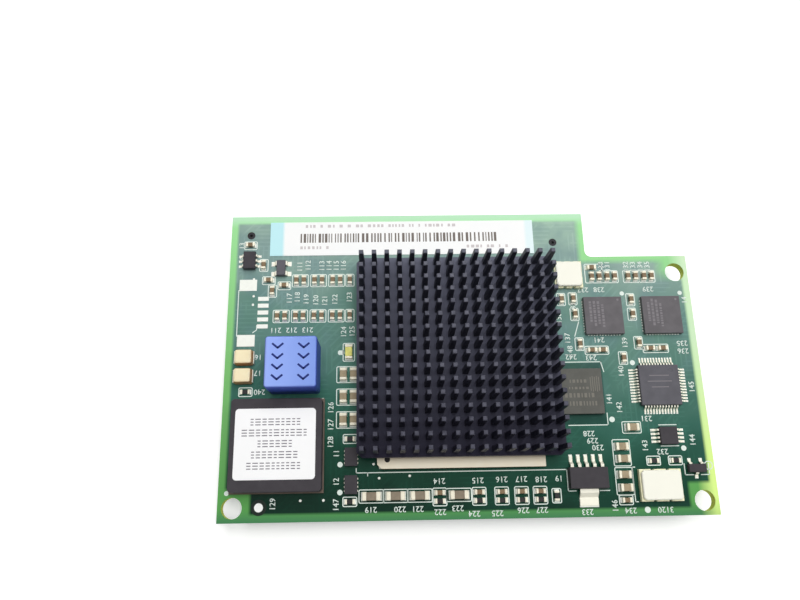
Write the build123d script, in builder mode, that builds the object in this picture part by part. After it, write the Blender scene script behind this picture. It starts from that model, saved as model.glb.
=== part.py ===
"""Fibre channel expansion card: a notched circuit board with a pin-fin heat sink.

Millimetres, +Z up. Places on the board are measured from its edges. The origin is at the
middle of the board's outline, at the mating face of the connector underneath.
"""
import os

from build123d import *

os.makedirs("parts", exist_ok=True)

# Circuit board
board_width = 83.0
board_depth = 54.0
board_thickness = 1.6
notch_width = 18.4
notch_depth = 8.5
notch_radius = 1.2
screw_hole_diameter = 3.4
screw_hole_inset = 2.35
rear_screw_inset = 11.65
tooling_hole_diameter = 1.45
left_tooling_hole = (3.6, 3.7)
right_tooling_hole = (24.15, 5.6)

# Connector under the board
connector_height = 4.8
connector_width = 10.4
connector_length = 36.0
connector_place = (12.3, 25.3)
connector_slot_width = 2.0
connector_slot_length = 32.6
connector_slot_spacing = 5.0
connector_slot_depth = 3.4
contact_pitch = 2.0
contacts_in_row = 16
contact_width = 0.5
contact_thickness = 0.25
contact_height = 2.9
connector_edge_break = 0.5

# Controller and its heat sink
controller_place = (40.3, 24.7)
controller_width = 28.0
controller_depth = 33.0
controller_corner = 0.7
substrate_thickness = 1.0
lid_width = 23.0
lid_depth = 27.0
lid_thickness = 0.75
lid_edge_break = 0.3
thermal_pad_thickness = 0.15
thermal_pad_margin = 0.5
ball_pitch = 1.27
ball_diameter = 0.7
ball_height = 0.5
ball_sides = 4
sink_shift = (-0.07, 2.43)
pin_count = 16
pin_pitch = 2.165
pin_base = 0.95
pin_tip = 0.75
pin_height = 5.9
sink_margin = 1.0
sink_plate_thickness = 1.3
sink_corner = 0.9

# Power module
module_place = (9.65, 12.35)
module_side = 15.6
module_base_thickness = 0.5
module_ledge = 0.2
module_cap_height = 2.3
module_corner = 0.4
module_cap_edge = 0.1
module_label_width = 13.35
module_label_depth = 11.55
module_label_radius = 0.6
module_label_shift = (-0.1, 0.1)

# Press pad and board label
press_pad_place = (12.3, 25.35)
press_pad_side = 8.6
press_pad_height = 7.0
press_pad_corner = 0.5
press_pad_top_edge = 0.25
label_thickness = 0.1
board_label_left = 7.1
board_label_rear = 1.2
board_label_width = 48.2
board_label_depth = 6.5

# Flash memory
flash_gap = 0.4  # between the controller's right side and the flash memory
flash_line = 20.7
flash_width = 10.4
flash_depth = 7.8
flash_thickness = 0.8
flash_ball_pitch = 0.8
flash_ball_diameter = 0.45
flash_ball_height = 0.3
flash_ball_columns = 10
flash_ball_rows = 8

# Leadless packages
leadless_overhang = 0.12
transceiver_side = 6.8
transceiver_height = 0.9
transceiver_places = ((16.35, 34.15), (5.95, 34.15))
transceiver_pad_side = 5.2
leadless_pad_thickness = 0.1
switch_width = 2.1
switch_depth = 3.0
switch_height = 0.9
switch_places = ((21.95, 10.3), (21.95, 5.8))
switch_terminal = 0.3
switch_terminal_pitch = 0.65
switch_terminal_count = 4

# Leaded packages
mould_taper = 8.0
lead_thickness = 0.15
lead_shoulder = 0.2  # share of a lead's reach before its upper bend
lead_landing = 0.45  # share of a lead's reach before its lower bend
lead_fold = 0.4  # how far a bend's two sides stand apart, as a share of the metal
microcontroller_place = (7.9, 21.6)
microcontroller_side = 7.0
microcontroller_height = 1.0
microcontroller_standoff = 0.1
microcontroller_span = 9.4
microcontroller_pitch = 0.5
microcontroller_lead_count = 12
microcontroller_lead_width = 0.25
comparator_place = (7.35, 13.0)
comparator_side = 3.0
comparator_height = 0.85
comparator_standoff = 0.1
comparator_span = 5.2
comparator_pitch = 0.65
comparator_lead_count = 4
comparator_lead_width = 0.34
supervisor_place = (3.6, 8.75)
supervisor_width = 2.2
supervisor_depth = 3.3
supervisor_height = 1.1
supervisor_standoff = 0.1
supervisor_span = 3.6
supervisor_pitch = 0.95
supervisor_lead_count = 3
supervisor_lead_width = 0.4
reset_chip_place = (9.3, 10.25)
reset_chip_width = 1.6
reset_chip_depth = 2.9
reset_chip_height = 1.0
reset_chip_standoff = 0.1
reset_chip_span = 3.2
reset_chip_pitch = 1.9
reset_chip_lead_width = 0.8
transistor_place = (3.25, 7.55)
transistor_width = 3.0
transistor_depth = 1.4
transistor_height = 1.0
transistor_standoff = 0.1
transistor_span = 2.9
transistor_pitch = 1.9
transistor_lead_width = 0.5
regulator_place = (21.7, 6.25)
regulator_width = 6.5
regulator_depth = 3.5
regulator_height = 1.6
regulator_standoff = 0.05
regulator_lead_reach = 1.9
regulator_lead_pitch = 1.27
regulator_lead_count = 5
regulator_lead_width = 0.55
regulator_tab_width = 3.1
regulator_tab_reach = 2.7
regulator_metal_thickness = 0.28

# Oscillators
large_oscillator_place = (9.65, 4.9)
large_oscillator_width = 7.0
large_oscillator_depth = 5.2
large_oscillator_notch_pitch = 2.54
small_oscillator_place = (22.0, 12.15)
small_oscillator_width = 5.0
small_oscillator_depth = 5.0
small_oscillator_notch_pitch = 1.6
oscillator_base_height = 0.9
oscillator_lid_height = 0.6
oscillator_lid_margin = 0.2
oscillator_lid_edge = 0.15
oscillator_notch = 0.5
oscillator_corner = 0.4

# Chip parts: length, width, height, end cap
small_chip = (1.6, 0.8, 0.8, 0.4)
large_chip = (2.1, 1.25, 1.1, 0.5)
ferrite_chip = (3.0, 1.4, 1.1, 0.7)
resistor_chip = (1.6, 0.8, 0.5, 0.35)
light_chip = (2.5, 1.3, 0.8, 0.45)
body_inset = 0.04
tantalum_length = 3.15
tantalum_width = 2.7
tantalum_height = 1.9
tantalum_taper = 5.0
tantalum_terminal_width = 2.2
tantalum_terminal_height = 0.9
tantalum_terminal_thickness = 0.15
tantalum_places = ((3.45, 27.4), (3.4, 24.15))

# Rows of coupling capacitors left of the heat sink, in pairs, measured from the rear left
pair_spacing = 1.35
pair_pitch = 3.25
last_pair = 19.25
lone_capacitor = 21.65
rear_coupling_line = 12.5
rear_pair_count = 3
front_coupling_line = 19.1
front_pair_count = 4

# Places of the other chip parts: upright ones lie along Y, level ones along X
rear_left_upright = ((6.1, 9.5), (7.8, 14.4))
rear_left_level = ((3.6, 5.65), (7.1, 12.4), (9.9, 13.4))
shelf_pairs = (17.0, 14.2, 10.4, 7.5)
shelf_line = 3.9
shelf_level = ((17.6, 2.2),)
right_upright = (
    (23.5, 37.4), (21.4, 37.5), (21.3, 34.6), (11.0, 37.2), (11.0, 34.5),
    (20.9, 29.15), (10.45, 29.25), (13.45, 26.55),
)
right_level = ((18.9, 28.0), (17.0, 28.0), (8.6, 28.2), (6.4, 28.2), (15.5, 2.6))
sink_side_columns = (20.6, 22.35)
sink_side_rows = (24.3, 20.4, 16.5)
right_bulk = ((15.5, 11.3), (15.4, 9.3), (15.5, 6.7), (15.4, 4.6), (13.3, 14.5))
status_light_place = (21.5, 28.25)
ferrite_line = 3.9
ferrite_places = (25.3, 29.3, 33.3, 39.8)
front_pairs = (36.6, 43.15, 46.9, 50.2, 53.3)
front_pair_lines = (4.3, 2.95)
left_resistors = ((3.8, 21.5), (21.75, 13.3), (21.75, 3.1))
front_upright_resistor = (27.0, 3.5)
right_resistors = ((10.2, 8.9), (6.5, 8.9))
under_rows = 4
under_columns = 2
under_pitch = (9.0, 7.0)

# Bare pads
pad_thickness = 0.06
header_line = 3.45
header_end_pad = (3.1, 2.1)
header_end_spacing = 10.2
header_middle = 18.35
header_pad = (1.9, 0.75)
header_pad_line = 6.25
header_pad_pitch = 1.27
header_pad_count = 5

# Heights
board_bottom = connector_height
board_top = board_bottom + board_thickness
rear_edge = board_depth
shelf_edge = board_depth - notch_depth


def from_left(x, y):
    """A place measured from the board's left and front edges."""
    return (x - board_width / 2, y - board_depth / 2)


def from_left_rear(x, y):
    """A place measured from the board's left and rear edges."""
    return from_left(x, rear_edge - y)


def from_right(x, y):
    """A place measured from the board's right and front edges."""
    return from_left(board_width - x, y)


def from_right_rear(x, y):
    """A place measured from the board's right and rear edges."""
    return from_right(x, rear_edge - y)


def from_right_shelf(x, y):
    """A place measured from the right edge and the rear edge beside the notch."""
    return from_right(x, shelf_edge - y)


def write(piece, name):
    """Label a finished piece and write its file."""
    piece.part.label = name
    export_step(piece.part, "parts/" + name + ".step")


def chips(name, size, places, under=False):
    """Chip parts lying flat: ceramic bodies between their metal end caps.

    Each place is a point on the board and the turn of the chip's long axis in degrees.
    """
    length, width, height, cap = size
    level, flip = (board_bottom, 180) if under else (board_top, 0)
    spots = [Location((*point, level), (flip, 0, turn)) for point, turn in places]
    standing = (Align.CENTER, Align.CENTER, Align.MIN)
    with BuildPart() as bodies:
        with Locations(*spots):
            Box(length - 2 * cap, width - 2 * body_inset, height - body_inset, align=standing)
    write(bodies, name + "_bodies")
    with BuildPart() as ends:
        with Locations(*spots):
            with Locations(((length - cap) / 2, 0), ((cap - length) / 2, 0)):
                Box(cap, width, height, align=standing)
    write(ends, name + "_end_caps")


def moulded_body(name, place, size, standoff, metal=lead_thickness):
    """A moulded package: a straight band where the leads leave, tapered above and below."""
    width, depth, height = size
    half = (height - metal) / 2
    band = board_top + standoff + half
    with BuildPart() as body:
        for level, rise, taper in ((band, metal, 0), (band + metal, half, mould_taper),
                                   (band, -half, mould_taper)):
            with BuildSketch(Plane.XY.offset(level)):
                with Locations(place):
                    Rectangle(width, depth)
            extrude(amount=rise, taper=taper)
    write(body, name)


def bent_lead(reach, height, standoff, width, metal=lead_thickness):
    """One gull-wing lead, leaving the body along +X, its foot on the board."""
    top = standoff + (height + metal) / 2
    shoulder = lead_shoulder * reach
    landing = lead_landing * reach
    fold = lead_fold * metal
    with BuildPart() as lead:
        with BuildSketch(Plane.XZ):
            with BuildLine():
                Polyline(
                    (0, top - metal),
                    (shoulder - fold, top - metal),
                    (landing - fold, 0),
                    (reach, 0),
                    (reach, metal),
                    (landing + fold, metal),
                    (shoulder + fold, top),
                    (0, top),
                    close=True,
                )
            make_face()
        extrude(amount=width / 2, both=True)
    return lead.part


def lead_spots(place, out, angle, offsets):
    """Where a row of leads starts: at a distance out from the package's middle."""
    row = Location((*place, board_top), (0, 0, angle))
    return [row * Location((out, offset, 0)) for offset in offsets]


def leads(name, groups):
    """The leads of a package: each group is one lead shape and its spots."""
    with BuildPart() as set_of_leads:
        for lead, spots in groups:
            with Locations(*spots):
                add(lead)
    write(set_of_leads, name)


def spread(count, pitch):
    """Offsets of a row of equal steps about its middle."""
    return [(i - (count - 1) / 2) * pitch for i in range(count)]


def solder_balls(name, place, across, along, pitch, diameter, height):
    """The outer ring of solder joints under a package."""
    columns = spread(across, pitch)
    rows = spread(along, pitch)
    ring = [(x, y) for x in columns for y in rows
            if x in (columns[0], columns[-1]) or y in (rows[0], rows[-1])]
    with BuildPart() as balls:
        with BuildSketch(Plane.XY.offset(board_top)):
            with Locations(place):
                with Locations(*ring):
                    RegularPolygon(diameter / 2, ball_sides)
        extrude(amount=height)
    write(balls, name)


def oscillator(name, place, width, depth, notch_pitch):
    """A ceramic base with castellated long sides and a drawn metal lid."""
    with BuildPart() as base:
        with BuildSketch(Plane.XY.offset(board_top)):
            with Locations(place):
                Rectangle(width, depth)
                with GridLocations(notch_pitch, depth, 2, 2):
                    Rectangle(oscillator_notch, oscillator_notch, mode=Mode.SUBTRACT)
        extrude(amount=oscillator_base_height)
    write(base, name + "_base")
    with BuildPart() as lid:
        with BuildSketch(Plane.XY.offset(board_top + oscillator_base_height)):
            with Locations(place):
                Rectangle(width - 2 * oscillator_lid_margin, depth - 2 * oscillator_lid_margin)
            chamfer(vertices(), oscillator_corner)
        extrude(amount=oscillator_lid_height)
        chamfer(lid.faces().sort_by(Axis.Z)[-1].edges(), oscillator_lid_edge)
    write(lid, name + "_lid")


# Circuit board: notched at the rear right, three screw holes and two tooling holes
screw_holes = [
    from_left(screw_hole_inset, screw_hole_inset),
    from_right(screw_hole_inset, screw_hole_inset),
    from_right(screw_hole_inset, board_depth - rear_screw_inset),
]
with BuildPart() as circuit_board:
    with BuildSketch(Plane.XY.offset(board_bottom)):
        with Locations(from_left(board_width / 2, board_depth / 2)):
            Rectangle(board_width, board_depth)
        with Locations(from_left(board_width, board_depth)):
            Rectangle(notch_width, notch_depth, align=(Align.MAX, Align.MAX), mode=Mode.SUBTRACT)
        inner_corner = Vector(*from_left(board_width - notch_width, shelf_edge))
        fillet(vertices().sort_by_distance(inner_corner)[0], notch_radius)
        with Locations(*screw_holes):
            Circle(screw_hole_diameter / 2, mode=Mode.SUBTRACT)
        with Locations(from_left_rear(*left_tooling_hole),
                       from_right_rear(*right_tooling_hole)):
            Circle(tooling_hole_diameter / 2, mode=Mode.SUBTRACT)
    extrude(amount=board_thickness)
write(circuit_board, "circuit_board")

# Connector: two long slots with contact rows on both walls, open towards the host board
connector_centre = from_left(*connector_place)
with BuildPart() as connector_housing:
    with BuildSketch():
        with Locations(connector_centre):
            Rectangle(connector_width, connector_length)
    extrude(amount=connector_height)
    chamfer(connector_housing.edges().filter_by(Axis.Z), connector_edge_break)
    with BuildSketch():
        with Locations(connector_centre):
            with GridLocations(connector_slot_spacing, 0, 2, 1):
                Rectangle(connector_slot_width, connector_slot_length)
    extrude(amount=connector_slot_depth, mode=Mode.SUBTRACT)
write(connector_housing, "connector_housing")

contact_base = connector_slot_depth - contact_height
contact_offset = (connector_slot_width - contact_thickness) / 2
with BuildPart() as connector_contacts:
    with BuildSketch(Plane.XY.offset(contact_base)):
        with Locations(connector_centre):
            with GridLocations(connector_slot_spacing, contact_pitch, 2, contacts_in_row):
                with GridLocations(2 * contact_offset, 0, 2, 1):
                    Rectangle(contact_thickness, contact_width)
    extrude(amount=contact_height)
write(connector_contacts, "connector_contacts")

# Controller: balls round the edge, substrate with a cut corner, lid and thermal pad
controller_centre = Vector(*from_left(*controller_place))
substrate_bottom = board_top + ball_height
lid_bottom = substrate_bottom + substrate_thickness
pad_bottom = lid_bottom + lid_thickness
sink_bottom = pad_bottom + thermal_pad_thickness

balls_across = int(controller_width / ball_pitch)
balls_along = int(controller_depth / ball_pitch)
solder_balls("controller_solder_balls", controller_centre, balls_across, balls_along,
             ball_pitch, ball_diameter, ball_height)

with BuildPart() as controller_substrate:
    with BuildSketch(Plane.XY.offset(substrate_bottom)):
        with Locations(controller_centre):
            Rectangle(controller_width, controller_depth)
        chamfer(vertices().group_by(Axis.Y)[0].sort_by(Axis.X)[0], controller_corner)
    extrude(amount=substrate_thickness)
write(controller_substrate, "controller_substrate")

with BuildPart() as controller_lid:
    with BuildSketch(Plane.XY.offset(lid_bottom)):
        with Locations(controller_centre):
            Rectangle(lid_width, lid_depth)
    extrude(amount=lid_thickness)
    chamfer(controller_lid.faces().sort_by(Axis.Z)[-1].edges(), lid_edge_break)
write(controller_lid, "controller_lid")

with BuildPart() as thermal_pad:
    with BuildSketch(Plane.XY.offset(pad_bottom)):
        with Locations(controller_centre):
            Rectangle(lid_width - 2 * thermal_pad_margin, lid_depth - 2 * thermal_pad_margin)
    extrude(amount=thermal_pad_thickness)
write(thermal_pad, "thermal_pad")

# Heat sink: a block cut by two crossed sets of tapered slots, which leave the pins
sink_centre = controller_centre + Vector(*sink_shift)
sink_side = (pin_count - 1) * pin_pitch + 2 * sink_margin
floor = sink_bottom + sink_plate_thickness
slot_foot = (pin_pitch - pin_base) / 2
slot_mouth = (pin_pitch - pin_tip) / 2
with BuildPart() as heat_sink:
    with BuildSketch(Plane.XY.offset(sink_bottom)):
        with Locations(sink_centre):
            Rectangle(sink_side, sink_side)
        chamfer(vertices(), sink_corner)
    extrude(amount=sink_plate_thickness + pin_height)
    for across, start in ((Plane.XZ, sink_centre.X), (Plane.YZ, sink_centre.Y)):
        with BuildSketch(across):
            with Locations(*[(start + step, floor) for step in spread(pin_count + 1, pin_pitch)]):
                Polygon((-slot_foot, 0), (slot_foot, 0), (slot_mouth, pin_height),
                        (-slot_mouth, pin_height), align=None)
        extrude(amount=board_width, both=True, mode=Mode.SUBTRACT)
write(heat_sink, "heat_sink")

# Power module: laminate base with a narrow ledge, moulded cap and paper label
module_centre = from_left(*module_place)
with BuildPart() as module_base:
    with BuildSketch(Plane.XY.offset(board_top)):
        with Locations(module_centre):
            Rectangle(module_side, module_side)
    extrude(amount=module_base_thickness)
write(module_base, "power_module_base")

cap_bottom = board_top + module_base_thickness
with BuildPart() as module_cap:
    with BuildSketch(Plane.XY.offset(cap_bottom)):
        with Locations(module_centre):
            Rectangle(module_side - 2 * module_ledge, module_side - 2 * module_ledge)
        chamfer(vertices(), module_corner)
    extrude(amount=module_cap_height)
    chamfer(module_cap.faces().sort_by(Axis.Z)[-1].edges(), module_cap_edge)
write(module_cap, "power_module_cap")

with BuildPart() as module_label:
    with BuildSketch(Plane.XY.offset(cap_bottom + module_cap_height)):
        with Locations(module_centre):
            with Locations(module_label_shift):
                RectangleRounded(module_label_width, module_label_depth, module_label_radius)
    extrude(amount=label_thickness)
write(module_label, "power_module_label")

# Press pad: a firm rubber block where the card is pushed home
with BuildPart() as press_pad:
    with BuildSketch(Plane.XY.offset(board_top)):
        with Locations(from_left(*press_pad_place)):
            RectangleRounded(press_pad_side, press_pad_side, press_pad_corner)
    extrude(amount=press_pad_height)
    chamfer(press_pad.faces().sort_by(Axis.Z)[-1].edges(), press_pad_top_edge)
write(press_pad, "press_pad")

# Board label: a thin strip along the rear edge
label_middle = (board_label_left + board_label_width / 2, board_label_rear + board_label_depth / 2)
with BuildPart() as board_label:
    with BuildSketch(Plane.XY.offset(board_top)):
        with Locations(from_left_rear(*label_middle)):
            Rectangle(board_label_width, board_label_depth)
    extrude(amount=label_thickness)
write(board_label, "board_label")

# Flash memory on its solder balls
flash_centre = from_left(
    controller_place[0] + (controller_width + flash_width) / 2 + flash_gap, flash_line)
solder_balls("flash_solder_balls", flash_centre, flash_ball_columns, flash_ball_rows,
             flash_ball_pitch, flash_ball_diameter, flash_ball_height)

with BuildPart() as flash_body:
    with BuildSketch(Plane.XY.offset(board_top + flash_ball_height)):
        with Locations(flash_centre):
            Rectangle(flash_width, flash_depth)
    extrude(amount=flash_thickness)
write(flash_body, "flash_body")

# Transceivers: flat leadless packages on their soldered middle pads
transceiver_centres = [from_right(*place) for place in transceiver_places]
with BuildPart() as transceiver_pads:
    with BuildSketch(Plane.XY.offset(board_top)):
        with Locations(*transceiver_centres):
            Rectangle(transceiver_pad_side, transceiver_pad_side)
    extrude(amount=leadless_pad_thickness)
write(transceiver_pads, "transceiver_pads")

with BuildPart() as transceiver_bodies:
    with BuildSketch(Plane.XY.offset(board_top + leadless_pad_thickness)):
        with Locations(*transceiver_centres):
            Rectangle(transceiver_side, transceiver_side)
    extrude(amount=transceiver_height)
write(transceiver_bodies, "transceiver_bodies")

# Power switches: small leadless packages with terminals along both long sides
switch_centres = [from_left(*place) for place in switch_places]
with BuildPart() as switch_terminal_set:
    with BuildSketch(Plane.XY.offset(board_top)):
        with Locations(*switch_centres):
            with GridLocations(switch_width - switch_terminal + 2 * leadless_overhang,
                               switch_terminal_pitch, 2, switch_terminal_count):
                Rectangle(switch_terminal, switch_terminal)
    extrude(amount=leadless_pad_thickness)
write(switch_terminal_set, "switch_terminals")

with BuildPart() as switch_bodies:
    with BuildSketch(Plane.XY.offset(board_top + leadless_pad_thickness)):
        with Locations(*switch_centres):
            Rectangle(switch_width, switch_depth)
    extrude(amount=switch_height)
write(switch_bodies, "switch_bodies")

# Microcontroller: leads on all four sides
microcontroller_centre = from_right(*microcontroller_place)
moulded_body("microcontroller_body", microcontroller_centre,
             (microcontroller_side, microcontroller_side, microcontroller_height),
             microcontroller_standoff)
microcontroller_lead = bent_lead(
    (microcontroller_span - microcontroller_side) / 2, microcontroller_height,
    microcontroller_standoff, microcontroller_lead_width)
leads("microcontroller_leads", [
    (microcontroller_lead,
     lead_spots(microcontroller_centre, microcontroller_side / 2, angle,
                spread(microcontroller_lead_count, microcontroller_pitch)))
    for angle in (0, 90, 180, 270)
])

# Comparator: leads on the left and right
comparator_centre = from_right(*comparator_place)
moulded_body("comparator_body", comparator_centre,
             (comparator_side, comparator_side, comparator_height), comparator_standoff)
comparator_lead = bent_lead((comparator_span - comparator_side) / 2, comparator_height,
                            comparator_standoff, comparator_lead_width)
leads("comparator_leads", [
    (comparator_lead,
     lead_spots(comparator_centre, comparator_side / 2, angle,
                spread(comparator_lead_count, comparator_pitch)))
    for angle in (0, 180)
])

# Supervisor: three leads on each long side
supervisor_centre = from_left_rear(*supervisor_place)
moulded_body("supervisor_body", supervisor_centre,
             (supervisor_width, supervisor_depth, supervisor_height), supervisor_standoff)
supervisor_lead = bent_lead((supervisor_span - supervisor_width) / 2, supervisor_height,
                            supervisor_standoff, supervisor_lead_width)
leads("supervisor_leads", [
    (supervisor_lead,
     lead_spots(supervisor_centre, supervisor_width / 2, angle,
                spread(supervisor_lead_count, supervisor_pitch)))
    for angle in (0, 180)
])

# Reset chip: two wide leads on each long side
reset_chip_centre = from_left_rear(*reset_chip_place)
moulded_body("reset_chip_body", reset_chip_centre,
             (reset_chip_width, reset_chip_depth, reset_chip_height), reset_chip_standoff)
reset_chip_lead = bent_lead((reset_chip_span - reset_chip_width) / 2, reset_chip_height,
                            reset_chip_standoff, reset_chip_lead_width)
leads("reset_chip_leads", [
    (reset_chip_lead,
     lead_spots(reset_chip_centre, reset_chip_width / 2, angle, spread(2, reset_chip_pitch)))
    for angle in (0, 180)
])

# Transistor: two leads at the rear and one at the front
transistor_centre = from_right(*transistor_place)
moulded_body("transistor_body", transistor_centre,
             (transistor_width, transistor_depth, transistor_height), transistor_standoff)
transistor_lead = bent_lead((transistor_span - transistor_depth) / 2, transistor_height,
                            transistor_standoff, transistor_lead_width)
leads("transistor_leads", [
    (transistor_lead, lead_spots(transistor_centre, transistor_depth / 2, 90,
                                 spread(2, transistor_pitch))),
    (transistor_lead, lead_spots(transistor_centre, transistor_depth / 2, 270, [0])),
])

# Regulator: five leads at the rear and one broad tab at the front
regulator_centre = from_right(*regulator_place)
moulded_body("regulator_body", regulator_centre,
             (regulator_width, regulator_depth, regulator_height), regulator_standoff,
             metal=regulator_metal_thickness)
leads("regulator_leads", [
    (bent_lead(regulator_lead_reach, regulator_height, regulator_standoff,
               regulator_lead_width, regulator_metal_thickness),
     lead_spots(regulator_centre, regulator_depth / 2, 90,
                spread(regulator_lead_count, regulator_lead_pitch))),
])
leads("regulator_tab", [
    (bent_lead(regulator_tab_reach, regulator_height, regulator_standoff,
               regulator_tab_width, regulator_metal_thickness),
     lead_spots(regulator_centre, regulator_depth / 2, 270, [0])),
])

# Clock oscillators
oscillator("large_oscillator", from_right(*large_oscillator_place),
           large_oscillator_width, large_oscillator_depth, large_oscillator_notch_pitch)
oscillator("small_oscillator", from_right_rear(*small_oscillator_place),
           small_oscillator_width, small_oscillator_depth, small_oscillator_notch_pitch)

# Tantalum capacitors: moulded blocks with a folded terminal at each end
tantalum_centres = [from_left(*place) for place in tantalum_places]
with BuildPart() as tantalum_bodies:
    with BuildSketch(Plane.XY.offset(board_top)):
        with Locations(*tantalum_centres):
            Rectangle(tantalum_length, tantalum_width)
    extrude(amount=tantalum_height, taper=tantalum_taper)
write(tantalum_bodies, "tantalum_bodies")

with BuildPart() as tantalum_terminals:
    with BuildSketch(Plane.XY.offset(board_top)):
        with Locations(*tantalum_centres):
            with GridLocations(tantalum_length + tantalum_terminal_thickness, 0, 2, 1):
                Rectangle(tantalum_terminal_thickness, tantalum_terminal_width)
    extrude(amount=tantalum_terminal_height)
write(tantalum_terminals, "tantalum_terminals")

# Coupling capacitors: upright, in pairs, with a lone one beside the heat sink
coupling_places = []
for row, pair_count in ((rear_coupling_line, rear_pair_count),
                        (front_coupling_line, front_pair_count)):
    columns = [lone_capacitor]
    for pair in range(pair_count):
        middle = last_pair - pair * pair_pitch
        columns += [middle - pair_spacing / 2, middle + pair_spacing / 2]
    coupling_places += [(from_left_rear(column, row), 90) for column in columns]
chips("coupling_capacitor", small_chip, coupling_places)

# Bypass capacitors
bypass_places = [(from_left_rear(*place), 90) for place in rear_left_upright]
bypass_places += [(from_left_rear(*place), 0) for place in rear_left_level]
for middle in shelf_pairs:
    for column in (middle - pair_spacing / 2, middle + pair_spacing / 2):
        bypass_places += [(from_right_shelf(column, shelf_line), 90)]
bypass_places += [(from_right_shelf(*place), 0) for place in shelf_level]
bypass_places += [(from_right(*place), 90) for place in right_upright]
bypass_places += [(from_right(*place), 0) for place in right_level]
bypass_places += [(from_left(column, front_pair_lines[0]), 0) for column in front_pairs]
chips("bypass_capacitor", small_chip, bypass_places)

# Bulk capacitors: two columns beside the heat sink and a group at the right
bulk_places = [(from_left(x, y), 90) for x in sink_side_columns for y in sink_side_rows]
bulk_places += [(from_right(*place), 0) for place in right_bulk]
chips("bulk_capacitor", large_chip, bulk_places)

# Ferrites, resistors and the status light
chips("ferrite", ferrite_chip, [(from_left(x, ferrite_line), 0) for x in ferrite_places])
resistor_places = [(from_left(*place), 0) for place in left_resistors]
resistor_places += [(from_right(*front_upright_resistor), 90)]
resistor_places += [(from_right(*place), 0) for place in right_resistors]
resistor_places += [(from_left(column, front_pair_lines[1]), 0) for column in front_pairs]
chips("resistor", resistor_chip, resistor_places)
chips("status_light", light_chip, [(from_left(*status_light_place), 90)])

# Bypass capacitors under the controller, on the board's underside
under_places = [((controller_centre.X + x, controller_centre.Y + y), 0)
                for x in spread(under_columns, under_pitch[0])
                for y in spread(under_rows, under_pitch[1])]
chips("underside_capacitor", small_chip, under_places, under=True)

# Bare tinned pads of a header that is not fitted
header_centre = from_left_rear(header_line, header_middle)
with BuildPart() as tinned_pads:
    with BuildSketch(Plane.XY.offset(board_top)):
        with Locations(header_centre):
            with GridLocations(0, header_end_spacing, 1, 2):
                Rectangle(*header_end_pad)
        with Locations(from_left_rear(header_pad_line, header_middle)):
            with GridLocations(0, header_pad_pitch, 1, header_pad_count):
                Rectangle(*header_pad)
    extrude(amount=pad_thickness)
write(tinned_pads, "tinned_pads")
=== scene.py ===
"""Finishes, print, solder and softened edges of the fibre channel expansion card.

Blender works in metres. Places on the board are given in millimetres from its front left corner.
"""

import math
import random

import bmesh
import bpy
from mathutils import Euler, Matrix, Vector


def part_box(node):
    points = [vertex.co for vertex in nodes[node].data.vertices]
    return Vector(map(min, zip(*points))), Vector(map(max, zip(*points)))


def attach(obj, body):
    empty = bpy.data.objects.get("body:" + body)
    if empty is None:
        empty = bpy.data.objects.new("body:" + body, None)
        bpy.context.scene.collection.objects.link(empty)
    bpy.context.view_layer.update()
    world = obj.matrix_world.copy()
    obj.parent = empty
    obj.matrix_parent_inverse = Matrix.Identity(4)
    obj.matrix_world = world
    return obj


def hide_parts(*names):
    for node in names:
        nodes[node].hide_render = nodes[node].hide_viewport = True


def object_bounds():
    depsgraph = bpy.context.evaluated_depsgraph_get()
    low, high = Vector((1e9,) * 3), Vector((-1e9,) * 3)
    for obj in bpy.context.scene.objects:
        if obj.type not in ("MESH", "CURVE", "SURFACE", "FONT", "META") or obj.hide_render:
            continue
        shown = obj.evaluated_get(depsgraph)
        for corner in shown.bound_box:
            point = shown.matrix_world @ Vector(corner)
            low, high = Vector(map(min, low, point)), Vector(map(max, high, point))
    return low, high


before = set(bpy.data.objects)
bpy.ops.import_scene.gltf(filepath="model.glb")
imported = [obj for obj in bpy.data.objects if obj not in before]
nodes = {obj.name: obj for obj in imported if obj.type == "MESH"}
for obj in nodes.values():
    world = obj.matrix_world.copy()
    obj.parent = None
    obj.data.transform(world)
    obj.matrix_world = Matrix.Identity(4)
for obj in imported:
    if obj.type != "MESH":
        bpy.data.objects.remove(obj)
cad_low, cad_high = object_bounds()

MM = 0.001
board_low, board_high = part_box("circuit_board")
board_top = board_high.z
board_width = (board_high.x - board_low.x) / MM
board_depth = (board_high.y - board_low.y) / MM

# Print and marks, in millimetres
ink_line = 0.15
ink_corner = 0.3
ink_sunk = 0.01
ink_thickness = 0.03
label_ink_thickness = 0.02
mark_thickness = 0.015
digit_height = 0.92
digit_swell = 0.018
digit_share = 0.69  # a digit's height as a share of the font's size
sink_plate = 1.3  # thickness of the heat sink's plate, in millimetres
welded = 0.001 * MM  # corners nearer than this are joined
near = 0.01 * MM  # levels nearer than this count as one
random.seed(7)


def on_board(x, y, level=board_top):
    """A place on the board in millimetres from its front left corner, as a point in metres."""
    return Vector((board_low.x + x * MM, board_low.y + y * MM, level))


def board_place(x, y):
    """The place in millimetres from the board's front left corner of a point in metres."""
    return x / MM - board_low.x / MM, y / MM - board_low.y / MM


def srgb(red, green, blue):
    """A colour in screen values from 0 to 255, as the shader's linear colour."""
    return (*[((v / 255 + 0.055) / 1.055) ** 2.4 for v in (red, green, blue)], 1.0)


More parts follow.
